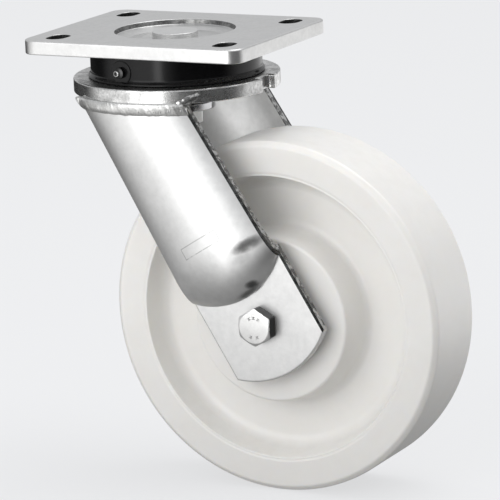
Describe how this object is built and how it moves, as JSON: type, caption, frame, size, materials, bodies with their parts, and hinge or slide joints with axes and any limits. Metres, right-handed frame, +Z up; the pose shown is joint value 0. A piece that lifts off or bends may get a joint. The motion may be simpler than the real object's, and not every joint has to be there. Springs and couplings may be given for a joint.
{
  "type": "swivel castor",
  "caption": "Heavy-duty swivel castor: slotted top plate, double ball race swivel head with dust band, welded fork with curved legs and a wide plastic wheel on ball bearings.",
  "frame": {"origin": "centre of the top plate's mounting face, on the swivel axis", "axes": "+Z up out of the plate along the swivel axis; +X towards the side that the wheel trails to, along the plate's length; +Y along the wheel's axle, towards the nut"},
  "size_m": [0.2365, 0.1214, 0.256],
  "materials": {
    "zinc_plate": "bright zinc-plated steel sheet, satin with soft broad reflections",
    "bright_steel": "bright zinc-plated turned steel and fasteners",
    "hardened_steel": "ground bearing steel",
    "black_band": "deep black gloss with soft upright reflections",
    "white_nylon": "cast nylon, warm white, semi-gloss, slightly translucent",
    "cage_polymer": "brown moulded cage"
  },
  "bodies": {
    "plate": {"top_plate": "zinc_plate", "kingpin": "bright_steel", "kingpin_nut": "bright_steel", "upper_race": "hardened_steel", "lower_race": "hardened_steel", "seal_ring": "black_band", "grease_nipple": "bright_steel"},
    "fork": {"crown_plate": "zinc_plate", "crown_race_upper": "hardened_steel", "crown_race_lower": "hardened_steel", "fork_leg_left": "zinc_plate", "fork_leg_right": "zinc_plate", "weld_bead_left": "zinc_plate", "weld_bead_right": "zinc_plate", "axle_bolt": "bright_steel", "axle_nut": "bright_steel", "axle_washer": "bright_steel", "axle_sleeve": "bright_steel", "distance_tube": "bright_steel", "spacer_left": "bright_steel", "spacer_right": "bright_steel", "bearing_inner_left": "hardened_steel", "bearing_inner_right": "hardened_steel"},
    "upper_row": {"upper_cage": "cage_polymer", "upper_ball_01": "hardened_steel", "upper_ball_02": "hardened_steel", "upper_ball_03": "hardened_steel", "upper_ball_04": "hardened_steel", "upper_ball_05": "hardened_steel", "upper_ball_06": "hardened_steel", "upper_ball_07": "hardened_steel", "upper_ball_08": "hardened_steel", "upper_ball_09": "hardened_steel", "upper_ball_10": "hardened_steel", "upper_ball_11": "hardened_steel", "upper_ball_12": "hardened_steel"},
    "lower_row": {"lower_cage": "cage_polymer", "lower_ball_01": "hardened_steel", "lower_ball_02": "hardened_steel", "lower_ball_03": "hardened_steel", "lower_ball_04": "hardened_steel", "lower_ball_05": "hardened_steel", "lower_ball_06": "hardened_steel", "lower_ball_07": "hardened_steel", "lower_ball_08": "hardened_steel", "lower_ball_09": "hardened_steel", "lower_ball_10": "hardened_steel"},
    "wheel": {"wheel": "white_nylon", "bearing_outer_left": "hardened_steel", "bearing_outer_right": "hardened_steel", "bearing_shield_left": "hardened_steel", "bearing_shield_right": "hardened_steel"},
    "left_balls": {"bearing_balls_left": "cage_polymer"},
    "right_balls": {"bearing_balls_right": "cage_polymer"}
  },
  "joints": [
    {"name": "swivel", "type": "hinge", "parent": "plate", "child": "fork", "pos_m": [0, 0, -0.0285], "axis": [0, 0, 1], "continuous": true},
    {"name": "upper_row_roll", "type": "hinge", "parent": "plate", "child": "upper_row", "pos_m": [0, 0, -0.0163], "axis": [0, 0, 1], "continuous": true},
    {"name": "lower_row_roll", "type": "hinge", "parent": "plate", "child": "lower_row", "pos_m": [0, 0, -0.0376], "axis": [0, 0, 1], "continuous": true},
    {"name": "wheel_spin", "type": "hinge", "parent": "fork", "child": "wheel", "pos_m": [0.068, 0, -0.156], "axis": [0, 1, 0], "continuous": true},
    {"name": "left_balls_roll", "type": "hinge", "parent": "fork", "child": "left_balls", "pos_m": [0.068, -0.023, -0.156], "axis": [0, 1, 0], "continuous": true},
    {"name": "right_balls_roll", "type": "hinge", "parent": "fork", "child": "right_balls", "pos_m": [0.068, 0.023, -0.156], "axis": [0, 1, 0], "continuous": true}
  ],
  "couplings": [
    {"joint": "upper_row_roll", "follows": "swivel", "ratio": 0.5},
    {"joint": "lower_row_roll", "follows": "swivel", "ratio": 0.5},
    {"joint": "left_balls_roll", "follows": "wheel_spin", "ratio": 0.5985},
    {"joint": "right_balls_roll", "follows": "wheel_spin", "ratio": 0.5985}
  ]
}
